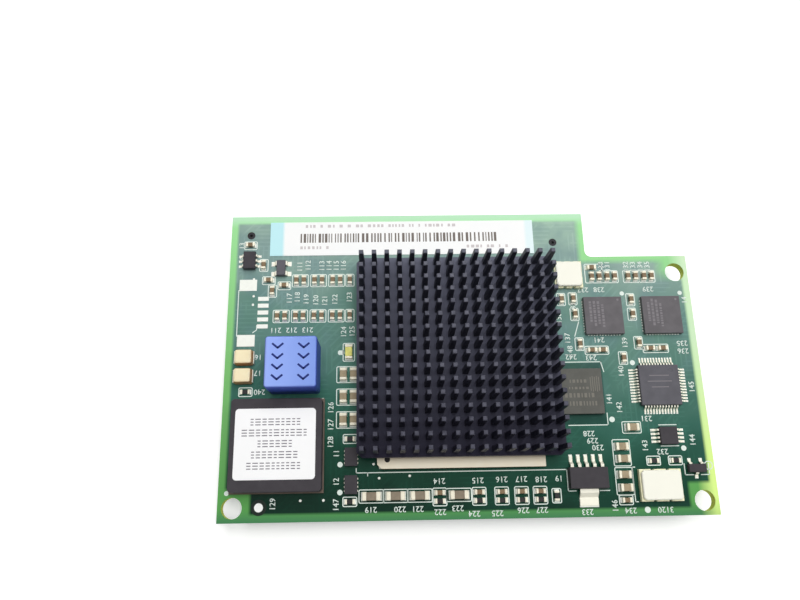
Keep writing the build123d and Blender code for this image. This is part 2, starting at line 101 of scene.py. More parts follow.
class Finish:
    """A material: its shader, and the nodes that vary it over the surface in object space."""

    def __init__(self, name, colour, roughness, metallic=0.0, **sockets):
        self.material = bpy.data.materials.new(name)
        self.material.use_nodes = True
        self.tree = self.material.node_tree
        self.shader = self.tree.nodes["Principled BSDF"]
        self.set("Base Color", colour)
        self.set("Roughness", roughness)
        self.set("Metallic", metallic)
        for socket, value in sockets.items():
            self.set(socket.replace("_", " ").title().replace("Ior", "IOR"), value)
        self.colour = colour
        self.roughness = roughness
        self.coordinates = self.node("TexCoord").outputs["Object"]

    def feed(self, socket, value):
        """Link a socket to another, or give it a value."""
        if isinstance(value, bpy.types.NodeSocket):
            self.tree.links.new(value, socket)
        else:
            socket.default_value = value

    def set(self, name, value):
        self.feed(self.shader.inputs[name], value)

    def node(self, kind, inputs=None, **settings):
        new = self.tree.nodes.new("ShaderNode" + kind)
        for key, value in settings.items():
            setattr(new, key, value)
        for key, value in (inputs or {}).items():
            self.feed(new.inputs[key], value)
        return new

    def math(self, operation, a, b=0.0):
        return self.node("Math", {0: a, 1: b}, operation=operation).outputs[0]

    def mix(self, amount, a, b, blend="MIX"):
        mixed = self.node("Mix", {0: amount, 6: a, 7: b}, data_type="RGBA", blend_type=blend)
        return mixed.outputs[2]

    def spread(self, value, low, high, to_low=0.0, to_high=1.0):
        return self.node("MapRange", {0: value, 1: low, 2: high, 3: to_low, 4: to_high}).outputs[0]

    def ramp(self, value, *stops):
        """A colour that runs through tones; each stop is a place from 0 to 1 and a colour."""
        ramp = self.node("ValToRGB", {"Fac": value})
        tones = ramp.color_ramp.elements
        tones[0].position, tones[0].color = stops[0]
        tones[1].position, tones[1].color = stops[-1]
        for place, colour in stops[1:-1]:
            tones.new(place).color = colour
        return ramp.outputs[0]

    def stretched(self, x, y, z, turn=0.0):
        """Object coordinates scaled per axis, and turned about Z by some degrees."""
        return self.node("Mapping", {"Vector": self.coordinates, "Scale": (x, y, z),
                                     "Rotation": (0, 0, math.radians(turn))}).outputs[0]

    def noise(self, size, detail=3.0, where=None):
        """Noise with features of about the given size in millimetres."""
        return self.node("TexNoise", {"Vector": where or self.coordinates, "Scale": 1 / (size * MM),
                                      "Detail": detail}).outputs[0]

    def axis(self, letter):
        """One object coordinate, in millimetres."""
        split = self.node("SeparateXYZ", {0: self.coordinates}).outputs[letter]
        return self.math("MULTIPLY", split, 1 / MM)

    def bump(self, height, depth, strength):
        """Relief of a depth in millimetres."""
        relief = self.node("Bump", {"Height": height, "Distance": depth * MM, "Strength": strength})
        self.set("Normal", relief.outputs[0])

    def vary(self, size, amount, rough, dark=0.75):
        """Mottle the colour towards a share of itself, and the roughness by a little."""
        patches = self.noise(size)
        deep = (*[c * dark for c in self.colour[:3]], 1.0)
        self.set("Base Color", self.mix(self.spread(patches, 0.35, 0.65, 0, amount), self.colour, deep))
        self.set("Roughness", self.spread(patches, 0.3, 0.7, self.roughness - rough,
                                          self.roughness + rough))

    def grain(self, size, depth, strength=0.6):
        """Fine relief of a size and a depth in millimetres."""
        self.bump(self.noise(size, 4.0), depth, strength)


def rectangle_mask(finish, x, y, x0, y0, x1, y1, soft):
    """1 inside a rectangle of the board and 0 outside, with soft edges."""
    half_x, half_y = (x1 - x0) / 2, (y1 - y0) / 2
    across = finish.math("ABSOLUTE", finish.math("SUBTRACT", x, x0 + half_x))
    along = finish.math("ABSOLUTE", finish.math("SUBTRACT", y, y0 + half_y))
    inside_x = finish.spread(across, half_x - soft, half_x + soft, 1.0, 0.0)
    inside_y = finish.spread(along, half_y - soft, half_y + soft, 1.0, 0.0)
    return finish.math("MULTIPLY", inside_x, inside_y)


def board_finish():
    """Solder mask over copper, brighter where the copper stops, with faint routes and fibre sides. Its
    tone holds a painted reflection, paler towards the rear and a little darker to the left, and painted
    glare along its right edge.
    """
    finish = Finish("solder_mask", srgb(14, 84, 62), 0.24, ior=1.5, specular_ior_level=0.12)
    x = finish.math("SUBTRACT", finish.axis("X"), board_low.x / MM)
    y = finish.math("SUBTRACT", finish.axis("Y"), board_low.y / MM)
    # Left, front, right, rear and softness, in millimetres from the board's front left corner
    copper_plane = (1.2, 1.3, 81.8, 52.6, 0.25)
    flash_footprint = (50.0, 15.1, 65.6, 25.8, 0.12)
    bare_zones = ((-5, -5, 5.3, 5.4, 0.3), (78.2, -5, 90, 5.3, 0.3), (78.0, 41.6, 90, 60, 1.2),
                  (63.5, 44.5, 90, 60, 0.5))
    copper = rectangle_mask(finish, x, y, *copper_plane)
    for zone in bare_zones:
        bare = rectangle_mask(finish, x, y, *zone)
        copper = finish.math("MULTIPLY", copper, finish.math("SUBTRACT", 1.0, bare))
    # Painted reflection: the mask is dark at the front and pale grey-green towards the rear. The gradient
    # wavers, leans darker to the left, and takes bluish patches towards the rear.
    patches = finish.noise(9.0, 2.0)
    wavering = finish.math("ADD", y, finish.spread(patches, 0.35, 0.65, -2.5, 2.5))
    leaning = finish.math("ADD", wavering, finish.spread(x, 0.0, board_width, -3.4, 3.4))
    painted_reflection_share = finish.spread(leaning, 0.0, board_depth)
    plane_with_painted_reflection = finish.ramp(painted_reflection_share, (0.0, srgb(8, 42, 30)), (0.16, srgb(22, 68, 52)),
                        (0.34, srgb(52, 100, 86)), (0.64, srgb(100, 138, 126)),
                        (0.84, srgb(141, 167, 158)), (0.97, srgb(160, 190, 172)))
    bluish = finish.math("MULTIPLY", finish.spread(finish.noise(5.0, 2.0), 0.42, 0.62, 0.0, 0.4),
                         finish.spread(painted_reflection_share, 0.3, 0.7))
    plane_with_painted_reflection = finish.mix(bluish, plane_with_painted_reflection, srgb(104, 132, 140))
    routes = []
    wave_period = 0.314  # of the wave texture at scale 1
    for turn, period in ((0, 0.9), (90, 0.8), (45, 1.1)):
        turned = finish.stretched(1, 1, 1, turn)
        waves = finish.node("TexWave", {"Vector": turned, "Scale": wave_period / period / MM})
        field = finish.spread(finish.noise(4.5, 1.0, turned), 0.54, 0.60)
        routes.append(finish.math("MULTIPLY", finish.spread(waves.outputs[1], 0.72, 0.86), field))
    tracks = finish.math("MAXIMUM", finish.math("MAXIMUM", routes[0], routes[1]), routes[2])
    plane_with_painted_reflection = finish.mix(finish.math("MULTIPLY", tracks, 0.16), plane_with_painted_reflection, plane_with_painted_reflection, "SCREEN")
    upward = finish.node("SeparateXYZ", {0: finish.node("NewGeometry").outputs["Normal"]}).outputs["Z"]
    footprint = rectangle_mask(finish, x, y, *flash_footprint)
    footprint = finish.math("MULTIPLY", footprint, finish.spread(upward, 0.4, 0.6, 0.0, 0.52))
    plane_with_painted_reflection = finish.mix(footprint, plane_with_painted_reflection, srgb(6, 34, 34))
    # Where the copper stops the mask is paler. It carries the same painted reflection from front to rear,
    # and painted glare along the right edge.
    clear = finish.ramp(finish.spread(y, 0.0, board_depth), (0.0, srgb(70, 128, 86)),
                        (0.04, srgb(90, 158, 82)), (0.5, srgb(128, 194, 118)),
                        (0.96, srgb(162, 228, 158)), (0.99, srgb(190, 236, 196)))
    glare = finish.spread(x, board_width - 3.2, board_width - 0.6)
    glare = finish.math("MULTIPLY", glare, finish.spread(y, -2.0, 3.0, 0.5, 0.95))
    painted_glare_colour = finish.mix(finish.spread(y, 8.0, 30.0), srgb(226, 255, 148), srgb(212, 240, 200))
    clear = finish.mix(glare, clear, painted_glare_colour)
    face = finish.mix(copper, clear, plane_with_painted_reflection)
    weave = finish.noise(0.5, 2.0, finish.stretched(0.4, 0.4, 2.5))
    fibre = finish.mix(finish.spread(weave, 0.35, 0.65), srgb(196, 212, 92), srgb(226, 234, 128))
    level = finish.spread(finish.math("ABSOLUTE", upward), 0.4, 0.6)
    finish.set("Base Color", finish.mix(level, fibre, face))
    finish.set("Roughness", finish.spread(level, 0, 1, 0.7, 0.24))
    relief = finish.math("ADD", tracks, finish.noise(0.6, 2.0))
    finish.bump(relief, 0.02, 0.35)
    return finish.material


def anodised_finish():
    """Black anodised metal with painted light: a sheen paler towards the rear, a floor between the pins
    painted paler as if lit, and painted highlights on the pins' tips.
    """
    finish = Finish("black_anodised", srgb(38, 38, 46), 0.45, metallic=0.2, specular_ior_level=0.2)
    low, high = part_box("heat_sink")
    tip = high.z / MM
    # Painted highlight: the pins' tips are lighter in patches, as if lit from above.
    painted_tip_highlight = finish.spread(finish.axis("Z"), tip - 0.2, tip - 0.03)
    stain = finish.noise(0.9, 2.0)
    painted_lit_top = finish.math("MULTIPLY", painted_tip_highlight, finish.spread(stain, 0.3, 0.6, 0.3, 0.8))
    # Painted sheen: the metal is darker at the front and paler towards the rear.
    rear = finish.spread(finish.axis("Y"), low.y / MM, high.y / MM)
    body = finish.mix(rear, srgb(29, 28, 42), srgb(66, 68, 81))
    body = finish.mix(finish.noise(2.4), body, finish.mix(0.25, body, srgb(0, 0, 0)))
    # The floor between the pins is painted paler as if lit, and also paler towards the rear.
    painted_lit_floor = finish.mix(rear, srgb(32, 30, 45), srgb(92, 94, 109))
    floor = low.z / MM + sink_plate
    raised = finish.spread(finish.axis("Z"), floor + 0.02, floor + 0.5)
    body = finish.mix(raised, painted_lit_floor, body)
    bare = finish.mix(rear, srgb(84, 84, 97), srgb(108, 109, 120))
    finish.set("Base Color", finish.mix(painted_lit_top, body, bare))
    finish.set("Roughness", finish.spread(stain, 0.3, 0.7, 0.4, 0.52))
    finish.grain(0.12, 0.01, 0.4)
    return finish.material


def mould_finish(name, colour, roughness, gloss=0.3):
    """Moulding compound: fine grain and faint flow marks."""
    finish = Finish(name, colour, roughness, specular_ior_level=gloss)
    finish.vary(1.6, 0.5, 0.05)
    finish.grain(0.08, 0.012)
    return finish.material


def tantalum_finish():
    """Moulded capacitor resin: cream on top and tan down its sides. The top is painted lighter and the
    sides darker, as light falls.
    """
    finish = Finish("tantalum_mould", srgb(252, 238, 200), 0.48, specular_ior_level=0.3)
    upward = finish.node("SeparateXYZ", {0: finish.node("NewGeometry").outputs["Normal"]}).outputs["Z"]
    cream = finish.mix(finish.noise(1.2), srgb(255, 244, 206), srgb(250, 232, 190))
    tan = finish.mix(finish.noise(0.8), srgb(216, 170, 116), srgb(190, 144, 96))
    # Painted light: the top is cream and the sides a deeper tan.
    finish.set("Base Color", finish.mix(finish.spread(upward, 0.35, 0.9), tan, cream))
    finish.grain(0.08, 0.01)
    return finish.material


def metal_finish(name, colour, roughness, metallic=1.0, mottle=0.35):
    """Plated metal with a slightly uneven surface."""
    finish = Finish(name, colour, roughness, metallic=metallic)
    finish.vary(0.6, mottle, 0.06, 0.82)
    finish.grain(0.35, 0.006, 0.4)
    return finish.material


def ceramic_finish(name, colour, roughness=0.45):
    """Fired ceramic with a fine grain."""
    finish = Finish(name, colour, roughness, specular_ior_level=0.35)
    finish.vary(0.7, 0.6, 0.04)
    finish.grain(0.06, 0.008)
    return finish.material


def smooth_finish(name, colour):
    """Smooth pale stock or lid with hardly any mottle."""
    finish = Finish(name, colour, 0.48, specular_ior_level=0.3)
    finish.vary(3.0, 0.5, 0.04, 0.97)
    finish.grain(0.3, 0.004, 0.4)
    return finish.material


def board_label_finish():
    """White label stock with a pale blue band at its left end and a fainter one at its right."""
    finish = Finish("board_label_stock", srgb(244, 245, 246), 0.45, specular_ior_level=0.3)
    low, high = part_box("board_label")
    along = finish.axis("X")
    left_band = finish.spread(along, low.x / MM + 2.2, low.x / MM + 2.7, 1.0, 0.0)
    right_band = finish.spread(along, high.x / MM - 1.7, high.x / MM - 1.2, 0.0, 0.4)
    white = finish.mix(finish.noise(4.0), srgb(253, 253, 251), srgb(248, 249, 249))
    tinted = finish.mix(finish.math("MAXIMUM", left_band, right_band), white, srgb(196, 240, 246))
    finish.set("Base Color", tinted)
    finish.grain(0.4, 0.004, 0.4)
    return finish.material


def rubber_finish():
    """Firm blue rubber with a satin skin. Its top is painted lit and paler to the left, and its sides are
    painted darker as shade.
    """
    finish = Finish("blue_rubber", srgb(88, 116, 222), 0.46, specular_ior_level=0.3)
    low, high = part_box("press_pad")
    # Painted light: the top is paler to the left and darker to the right.
    across = finish.spread(finish.axis("X"), low.x / MM, high.x / MM)
    painted_lit_top = finish.mix(across, srgb(158, 182, 252), srgb(132, 160, 232))
    painted_lit_top = finish.mix(finish.noise(2.2), painted_lit_top, finish.mix(0.1, painted_lit_top, srgb(66, 92, 200)))
    # The sides take a deeper blue as painted shade.
    top = finish.spread(finish.axis("Z"), high.z / MM - 0.2, high.z / MM - 0.05)
    finish.set("Base Color", finish.mix(top, srgb(64, 88, 192), painted_lit_top))
    finish.grain(0.1, 0.012)
    return finish.material


def laminate_finish():
    """Cream package laminate: a bright face with painted shadow of the heat sink towards its rear, and
    darker pressed layers on its sides.
    """
    finish = Finish("cream_laminate", srgb(236, 214, 178), 0.42, specular_ior_level=0.3)
    layers = finish.noise(0.25, 2.0, finish.stretched(0.05, 0.05, 1.6))
    low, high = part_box("controller_substrate")
    rise = finish.spread(finish.axis("Z"), low.z / MM, high.z / MM)
    # Painted shadow: the face darkens towards its rear, under the heat sink.
    ahead = finish.spread(finish.axis("Y"), low.y / MM + 0.5, low.y / MM + 2.6)
    face = finish.mix(finish.noise(1.5), srgb(255, 248, 228), srgb(252, 240, 214))
    face = finish.mix(ahead, face, srgb(198, 184, 160))
    side = finish.mix(finish.spread(layers, 0.4, 0.6), srgb(204, 176, 134), srgb(170, 142, 104))
    finish.set("Base Color", finish.mix(finish.spread(rise, 0.9, 0.99), side, face))
    finish.grain(0.1, 0.006)
    return finish.material


def ink_finish(name, colour, roughness=0.5):
    """Printed ink with slightly uneven cover."""
    finish = Finish(name, colour, roughness, specular_ior_level=0.25)
    finish.vary(0.35, 0.35, 0.05, 0.88)
    finish.grain(0.08, 0.006)
    return finish.material


looks = {
    "board_laminate": board_finish(),
    "black_anodised": anodised_finish(),
    "thermal_film": mould_finish("thermal_film", srgb(196, 198, 202), 0.6),
    "cream_laminate": laminate_finish(),
    "nickel_lid": metal_finish("nickel_lid", srgb(190, 190, 190), 0.3),
    "solder": metal_finish("solder", srgb(238, 240, 232), 0.45, 0.3, 0.2),
    "tinned_lead": metal_finish("tinned_lead", srgb(246, 243, 226), 0.42, 0.2, 0.3),
    "black_mould": mould_finish("black_mould", srgb(65, 62, 66), 0.5, 0.2),
    "grey_mould": mould_finish("grey_mould", srgb(96, 95, 101), 0.5, 0.2),
    "module_laminate": mould_finish("module_laminate", srgb(112, 98, 88), 0.5),
    "white_label": smooth_finish("white_label", srgb(254, 254, 254)),
    "board_label": board_label_finish(),
    "blue_rubber": rubber_finish(),
    "white_ceramic": ceramic_finish("white_ceramic", srgb(250, 246, 210)),
    "oscillator_lid": smooth_finish("oscillator_lid", srgb(251, 250, 236)),
    "capacitor_ceramic": ceramic_finish("capacitor_ceramic", srgb(134, 113, 86)),
    "ferrite": ceramic_finish("ferrite", srgb(142, 130, 112), 0.5),
    "resistor_ceramic": ceramic_finish("resistor_ceramic", srgb(40, 38, 38), 0.35),
    "tantalum_mould": tantalum_finish(),
    "light_body": ceramic_finish("light_body", srgb(240, 236, 132), 0.25),
    "connector_plastic": mould_finish("connector_plastic", srgb(38, 38, 42), 0.5),
    "gold_contact": metal_finish("gold_contact", srgb(226, 188, 110), 0.25),
}
# Inks, and finishes of single nodes
white_ink = ink_finish("white_ink", srgb(230, 241, 233))
grey_ink = ink_finish("grey_ink", srgb(126, 122, 130))
bar_ink = ink_finish("bar_ink", srgb(116, 108, 102))
faint_ink = ink_finish("faint_ink", srgb(208, 202, 202))
blue_ink = ink_finish("blue_ink", srgb(34, 46, 112))
black_ink = ink_finish("black_ink", srgb(20, 18, 18))
laser_mark = ink_finish("laser_mark", srgb(128, 124, 128), 0.6)
brown_mark = ink_finish("brown_mark", srgb(122, 119, 111), 0.6)
flash_mould = mould_finish("flash_mould", srgb(96, 96, 91), 0.5, 0.2)
transceiver_mould = mould_finish("transceiver_mould", srgb(104, 101, 104), 0.5, 0.2)
bulk_ceramic = ceramic_finish("bulk_ceramic", srgb(168, 152, 124))
cap_tin = metal_finish("cap_tin", srgb(246, 240, 218), 0.42, 0.15, 0.3)
bright_tin = metal_finish("bright_tin", srgb(250, 251, 248), 0.4, 0.1, 0.2)
dark_ring = ink_finish("dark_ring", srgb(14, 26, 20), 0.4)


def new_piece(name, bm, finish, slot, *replaced):
    """Make an object of a finished mesh and let it ride on the card; the slot it is given is not used."""
    mesh = bpy.data.meshes.new(name)
    bm.to_mesh(mesh)
    bm.free()
    mesh.materials.append(finish)
    piece = bpy.data.objects.new(name, mesh)
    bpy.context.scene.collection.objects.link(piece)
    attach(piece, "root")
    if replaced:
        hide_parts(*replaced)


def cad_copy(node):
    """A copy of a CAD node's mesh with its corners merged and its flat faces whole."""
    bm = bmesh.new()
    bm.from_mesh(nodes[node].data)
    bmesh.ops.remove_doubles(bm, verts=bm.verts[:], dist=welded)
    bmesh.ops.dissolve_limit(bm, angle_limit=math.radians(1), verts=bm.verts[:], edges=bm.edges[:])
    return bm


def sharp_edges(bm, least=30.0):
    """Edges whose faces turn by more than some degrees."""
    return [e for e in bm.edges if e.is_manifold and e.calc_face_angle() > math.radians(least)]


def bevel_edges(bm, edges, width, segments=2):
    """Round edges by a width in millimetres."""
    bmesh.ops.bevel(bm, geom=edges, offset=width * MM, segments=segments, profile=0.5,
                    affect="EDGES", material=-1, clamp_overlap=True)


def soften(node, width, slot, finish, dimple):
    """Replace a CAD node by itself with its sharp edges rounded, and a dimple at shares of its top."""
    bm = cad_copy(node)
    bevel_edges(bm, sharp_edges(bm), width)
    if dimple:
        low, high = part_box(node)
        share_x, share_y, radius, depth = dimple
        place = Vector((low.x + share_x * (high.x - low.x), low.y + share_y * (high.y - low.y), high.z))
        press_dimple(bm, place, radius, depth)
    new_piece(node + "_softened", bm, finish or looks[slot], slot, node)


def press_dimple(bm, place, radius, depth, sides=14):
    """Sink a round ejector dimple, in millimetres: its floor is cut free of the top, then pressed in."""
    floor = max((f for f in bm.faces if f.normal.z > 0.9), key=lambda face: face.calc_area())
    for step in range(sides):
        out = Matrix.Rotation(math.tau * step / sides, 3, "Z") @ Vector((1, 0, 0))
        cut = bmesh.ops.bisect_plane(bm, geom=[floor] + floor.edges[:] + floor.verts[:],
                                     plane_co=place + out * radius * MM, plane_no=out)["geom_cut"]
        edge = next(part for part in cut if isinstance(part, bmesh.types.BMEdge))
        floor = min(edge.link_faces, key=lambda face: (face.calc_center_median() - place).dot(out))
    slope = 0.25 * radius
    bmesh.ops.inset_region(bm, faces=[floor], thickness=slope * MM, depth=-depth * MM)


def solids(node):
    """The lowest and highest corner of each separate solid in a CAD node."""
    bm = cad_copy(node)
    boxes, seen = [], set()
    for start in bm.verts:
        if start in seen:
            continue
        seen.add(start)
        queue, points = [start], []
        while queue:
            corner = queue.pop()
            points.append(corner.co.copy())
            for edge in corner.link_edges:
                other = edge.other_vert(corner)
                if other not in seen:
                    seen.add(other)
                    queue.append(other)
        boxes.append((Vector(map(min, *points)), Vector(map(max, *points))))
    bm.free()
    return boxes


def join(bm, part, matrix):
    """Move one mesh under construction by a matrix, add it to another and free it."""
    mesh = bpy.data.meshes.new("joined")
    part.transform(matrix)
    part.to_mesh(mesh)
    part.free()
    bm.from_mesh(mesh)
    bpy.data.meshes.remove(mesh)


def block(bm, low, high):
    """A box between two corners; returns its vertices."""
    place = Matrix.Translation((low + high) / 2) @ Matrix.Diagonal((*(high - low), 1.0))
    return bmesh.ops.create_cube(bm, size=1.0, matrix=place)["verts"]


def plate(width, depth, corner, segments=4):
    """A flat rounded rectangle about the origin, in millimetres scaled to metres."""
    bm = bmesh.new()
    bmesh.ops.create_grid(bm, x_segments=1, y_segments=1, size=0.5,
                          matrix=Matrix.Diagonal((width * MM, depth * MM, 1, 1)))
    bmesh.ops.bevel(bm, geom=bm.verts[:], offset=corner * MM, segments=segments, profile=0.5,
                    affect="VERTICES", material=-1)
    return bm


def print_box(bm, x0, y0, x1, y1):
    """A printed outline with rounded corners."""
    outline = plate(x1 - x0, y1 - y0, ink_corner)
    inner = outline.faces[:]
    bmesh.ops.inset_region(outline, faces=inner, thickness=ink_line * MM, use_boundary=True,
                           use_even_offset=True)
    bmesh.ops.delete(outline, geom=inner, context="FACES")
    join(bm, outline, Matrix.Translation(on_board((x0 + x1) / 2, (y0 + y1) / 2)))


def print_bar(bm, x, y, width, depth, corner=0.02, level=board_top):
    """A printed bar about its middle."""
    join(bm, plate(width, depth, corner, 1), Matrix.Translation(on_board(x, y, level)))


def print_line(bm, points):
    """A printed line through some points, square at its ends."""
    for (x0, y0), (x1, y1) in zip(points, points[1:]):
        length = math.hypot(x1 - x0, y1 - y0) + ink_line
        turn = Matrix.Rotation(math.atan2(y1 - y0, x1 - x0), 4, "Z")
        middle = Matrix.Translation(on_board((x0 + x1) / 2, (y0 + y1) / 2))
        join(bm, plate(length, ink_line, ink_line / 4, 1), middle @ turn)


def print_dot(bm, x, y, diameter, level=board_top):
    """A printed round spot."""
    bmesh.ops.create_circle(bm, cap_ends=True, segments=20, radius=diameter / 2 * MM,
                            matrix=Matrix.Translation(on_board(x, y, level)))


def print_ring(bm, x, y, diameter, line=ink_line):
    """A printed ring, measured over its outer edge."""
    ring = bmesh.new()
    bmesh.ops.create_circle(ring, cap_ends=True, segments=28, radius=diameter / 2 * MM)
    inner = ring.faces[:]
    bmesh.ops.inset_region(ring, faces=inner, thickness=line * MM, use_boundary=True,
                           use_even_offset=True)
    bmesh.ops.delete(ring, geom=inner, context="FACES")
    join(bm, ring, Matrix.Translation(on_board(x, y)))


def print_number(bm, text, x, y, turn):
    """Plain digits printed about their middle and turned by some degrees."""
    curve = bpy.data.curves.new("digits", "FONT")
    curve.body = text
    curve.size = digit_height / digit_share * MM
    curve.align_x = "CENTER"
    curve.align_y = "CENTER"
    curve.resolution_u = 2
    curve.offset = digit_swell * MM
    holder = bpy.data.objects.new("digits", curve)
    mesh = bpy.data.meshes.new_from_object(holder)
    mesh.transform(Matrix.Translation(on_board(x, y)) @ Matrix.Rotation(math.radians(turn), 4, "Z"))
    bm.from_mesh(mesh)
    bpy.data.meshes.remove(mesh)
    bpy.data.objects.remove(holder)
    bpy.data.curves.remove(curve)


def ink_piece(name, bm, finish, slot, thickness=ink_thickness):
    """Give flat print its thickness, sunk a little into what carries it."""
    bmesh.ops.remove_doubles(bm, verts=bm.verts[:], dist=2 * welded)
    raised = bmesh.ops.extrude_face_region(bm, geom=bm.faces[:])["geom"]
    tops = [v for v in raised if isinstance(v, bmesh.types.BMVert)]
    bmesh.ops.translate(bm, verts=tops, vec=(0, 0, thickness * MM))
    bmesh.ops.translate(bm, verts=bm.verts[:], vec=(0, 0, -ink_sunk * MM))
    bmesh.ops.recalc_face_normals(bm, faces=bm.faces[:])
    new_piece(name, bm, finish, slot)


# Board and the other nodes that keep their CAD form
kept = {
    "circuit_board": "board_laminate",
    "thermal_pad": "thermal_film",
    "controller_solder_balls": "solder",
    "flash_solder_balls": "solder",
    "board_label": "board_label",
    "transceiver_pads": "solder",
    "switch_terminals": "tinned_lead",
}
for node, slot in kept.items():
    nodes[node].data.materials.clear()
    nodes[node].data.materials.append(looks[slot])

# Nodes whose edges are rounded: edge width in millimetres and slot
softened = {
    "controller_lid": (0.1, "nickel_lid"),
    "controller_substrate": (0.05, "cream_laminate"),
    "power_module_base": (0.04, "module_laminate"),
    "power_module_cap": (0.05, "black_mould"),
    "power_module_label": (0.02, "white_label"),
    "press_pad": (0.12, "blue_rubber"),
    "flash_body": (0.05, "grey_mould"),
    "transceiver_bodies": (0.05, "grey_mould"),
    "switch_bodies": (0.05, "black_mould"),
    "microcontroller_body": (0.06, "grey_mould"),
    "microcontroller_leads": (0.03, "tinned_lead"),
    "comparator_body": (0.05, "black_mould"),
    "comparator_leads": (0.03, "tinned_lead"),
    "supervisor_body": (0.05, "black_mould"),
    "supervisor_leads": (0.03, "tinned_lead"),
    "reset_chip_body": (0.05, "grey_mould"),
    "reset_chip_leads": (0.03, "tinned_lead"),
    "transistor_body": (0.05, "black_mould"),
    "transistor_leads": (0.03, "tinned_lead"),
    "regulator_body": (0.06, "black_mould"),
    "regulator_leads": (0.05, "tinned_lead"),
    "regulator_tab": (0.05, "tinned_lead"),
    "large_oscillator_base": (0.05, "white_ceramic"),
    "large_oscillator_lid": (0.08, "oscillator_lid"),
    "small_oscillator_base": (0.05, "white_ceramic"),
    "small_oscillator_lid": (0.08, "oscillator_lid"),
    "tantalum_bodies": (0.28, "tantalum_mould"),
    "tantalum_terminals": (0.05, "tinned_lead"),
    "coupling_capacitor_bodies": (0.03, "capacitor_ceramic"),
    "coupling_capacitor_end_caps": (0.09, "tinned_lead"),
    "bypass_capacitor_bodies": (0.03, "capacitor_ceramic"),
    "bypass_capacitor_end_caps": (0.09, "tinned_lead"),
    "bulk_capacitor_bodies": (0.04, "capacitor_ceramic"),
    "bulk_capacitor_end_caps": (0.12, "tinned_lead"),
    "underside_capacitor_bodies": (0.03, "capacitor_ceramic"),
    "underside_capacitor_end_caps": (0.09, "tinned_lead"),
    "ferrite_bodies": (0.04, "ferrite"),
    "ferrite_end_caps": (0.12, "tinned_lead"),
    "resistor_bodies": (0.02, "resistor_ceramic"),
    "resistor_end_caps": (0.06, "tinned_lead"),
    "status_light_bodies": (0.1, "light_body"),
    "status_light_end_caps": (0.08, "tinned_lead"),
    "tinned_pads": (0.02, "solder"),
    "connector_housing": (0.08, "connector_plastic"),
    "connector_contacts": (0.05, "gold_contact"),
}
special = {"flash_body": flash_mould, "transceiver_bodies": transceiver_mould,
           "bulk_capacitor_bodies": bulk_ceramic}
special.update({node: cap_tin for node in softened if node.endswith("end_caps")})
# Ejector dimples: place as shares of the top's width and depth, radius and depth in millimetres
dimples = {"microcontroller_body": (0.8, 0.85, 0.42, 0.05), "reset_chip_body": (0.25, 0.2, 0.14, 0.05)}
for node, (width, slot) in softened.items():
    soften(node, width, slot, special.get(node), dimples.get(node))


def heat_sink():
    """The pin-fin heat sink with its pins' tips broken."""
    tip_edge = 0.14
    bm = bmesh.new()
    bm.from_mesh(nodes["heat_sink"].data)
    bmesh.ops.remove_doubles(bm, verts=bm.verts[:], dist=welded)
    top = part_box("heat_sink")[1].z
    level = [e for e in bm.edges if all(abs(v.co.z - top) < near for v in e.verts)]
    flat = [e for e in level if e.calc_face_angle(1.0) < math.radians(1)]
    bmesh.ops.dissolve_edges(bm, edges=flat, use_verts=False)
    rims = [e for e in bm.edges if all(abs(v.co.z - top) < near for v in e.verts)]
    bevel_edges(bm, rims, tip_edge)
    new_piece("heat_sink_softened", bm, looks["black_anodised"], "black_anodised", "heat_sink")


def chip_outlines(kind):
    """The low and high corner of every whole chip of a kind: its body and its two end caps."""
    caps = solids(kind + "_end_caps")
    outlines = []
    for low, high in solids(kind + "_bodies"):
        middle = (low + high) / 2
        nearest = sorted(caps, key=lambda cap: ((cap[0] + cap[1]) / 2 - middle).length)[:2]
        corners = [low, high] + [corner for cap in nearest for corner in cap]
        outlines.append((Vector(map(min, *corners)), Vector(map(max, *corners))))
    return outlines


def close_groups(outlines, gap):
    """Chips gathered into groups whose neighbours are nearer than a gap in millimetres."""
    groups = []
    for low, high in outlines:
        joined = [low, high]
        apart = []
        for group_low, group_high in groups:
            steps = [max(group_low[i] - joined[1][i], joined[0][i] - group_high[i], 0) for i in (0, 1)]
            if math.hypot(*steps) < gap * MM:
                joined = [Vector(map(min, joined[0], group_low)), Vector(map(max, joined[1], group_high))]
            else:
                apart.append((group_low, group_high))
        groups = apart + [tuple(joined)]
    return groups


def chip_solder():
    """A sloped solder fillet and its pad at each end of the chip parts."""
    reach, beside, toe, edge = 0.22, 0.06, 0.05, 0.04
    rise_share, narrowing = 0.5, 0.12
    bm = bmesh.new()
    for kind in ("coupling_capacitor", "bypass_capacitor", "bulk_capacitor", "ferrite",
                 "resistor", "status_light", "underside_capacitor"):
        middles = [(low + high) / 2 for low, high in solids(kind + "_bodies")]
        for low, high in solids(kind + "_end_caps"):
            middle = (low + high) / 2
            body = min(middles, key=lambda point: (point - middle).length)
            out = middle - body
            axis = 0 if abs(out.x) > abs(out.y) else 1
            across = 1 - axis
            side = 1 if out[axis] > 0 else -1
            below = low.z < board_low.z
            foot_low, foot_high = low.copy(), high.copy()
            foot_low[across] -= beside * MM
            foot_high[across] += beside * MM
            if side > 0:
                foot_high[axis] += reach * MM
            else:
                foot_low[axis] -= reach * MM
            rise = rise_share * (high.z - low.z)
            if below:
                foot_low.z = foot_high.z - rise
            else:
                foot_high.z = foot_low.z + rise
            corners = block(bm, foot_low, foot_high)
            outer = foot_high[axis] if side > 0 else foot_low[axis]
            board_level = board_low.z if below else board_top
            for corner in corners:
                if abs(corner.co.z - board_level) > 0.2 * rise:
                    if abs(corner.co[axis] - outer) <= near:
                        corner.co.z = board_level + (-toe if below else toe) * MM
                    corner.co[across] += (middle[across] - corner.co[across]) * narrowing
    bevel_edges(bm, sharp_edges(bm, 20), edge, 1)
    new_piece("chip_solder", bm, looks["solder"], "solder")


